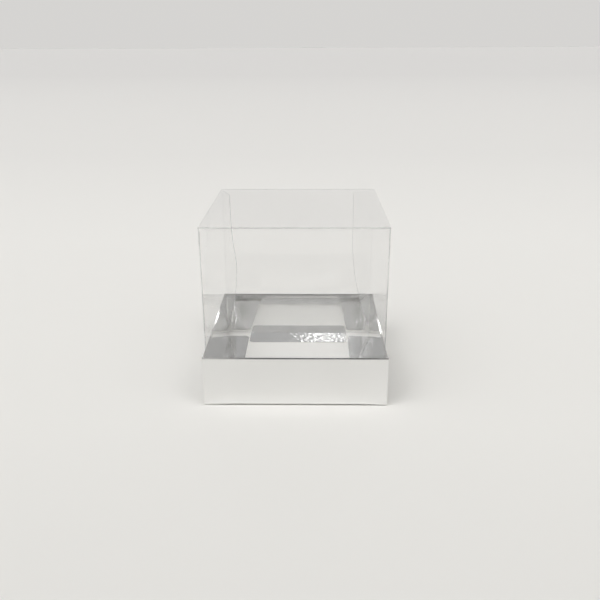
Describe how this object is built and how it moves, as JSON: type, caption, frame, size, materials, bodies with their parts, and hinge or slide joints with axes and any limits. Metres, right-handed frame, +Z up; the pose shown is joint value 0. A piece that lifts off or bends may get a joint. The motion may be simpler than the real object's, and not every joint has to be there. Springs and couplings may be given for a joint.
{
  "type": "favor box",
  "caption": "Small cube favor box: a silver foil-board tray with double roll-over walls and floor flanges, under a clear folded film lid that lifts off.",
  "frame": {"origin": "middle of the tray's underside, on the surface that the box stands on", "axes": "+Z up, the way the lid lifts; the front of the box faces -Y; +X is to the right seen from the front"},
  "size_m": [0.07, 0.07, 0.07],
  "materials": {
    "foil_board": "polished",
    "white_board": "satin",
    "clear_film": "polished"
  },
  "bodies": {
    "tray": {"tray_floor": "white_board", "tray_front_outer_wall": "foil_board", "tray_back_outer_wall": "foil_board", "tray_left_outer_wall": "foil_board", "tray_right_outer_wall": "foil_board", "tray_front_inner_wall": "foil_board", "tray_back_inner_wall": "foil_board", "tray_left_inner_wall": "foil_board", "tray_right_inner_wall": "foil_board", "tray_front_floor_flange": "foil_board", "tray_back_floor_flange": "foil_board", "tray_left_floor_flange": "foil_board", "tray_right_floor_flange": "foil_board", "tray_front_left_corner_tab": "foil_board", "tray_front_right_corner_tab": "foil_board", "tray_back_left_corner_tab": "foil_board", "tray_back_right_corner_tab": "foil_board"},
    "lid": {"lid_front_panel": "clear_film", "lid_top_panel": "clear_film", "lid_back_panel": "clear_film", "lid_left_panel": "clear_film", "lid_right_panel": "clear_film"},
    "left_flap": {"lid_left_flap": "clear_film"},
    "right_flap": {"lid_right_flap": "clear_film"}
  },
  "joints": [
    {"name": "lid_lift", "type": "slide", "parent": "tray", "child": "lid", "axis": [0, 0, 1], "range_m": [0, 0.05]},
    {"name": "left_flap_crease", "type": "hinge", "parent": "lid", "child": "left_flap", "pos_m": [-0.03335, 0.03335, 0.037], "axis": [0, 0, -1], "range_deg": [-37, 23], "stiffness_Nm_per_rad": 0.0002},
    {"name": "right_flap_crease", "type": "hinge", "parent": "lid", "child": "right_flap", "pos_m": [0.03335, 0.03335, 0.037], "axis": [0, 0, 1], "range_deg": [-13, 47], "stiffness_Nm_per_rad": 0.0002}
  ]
}
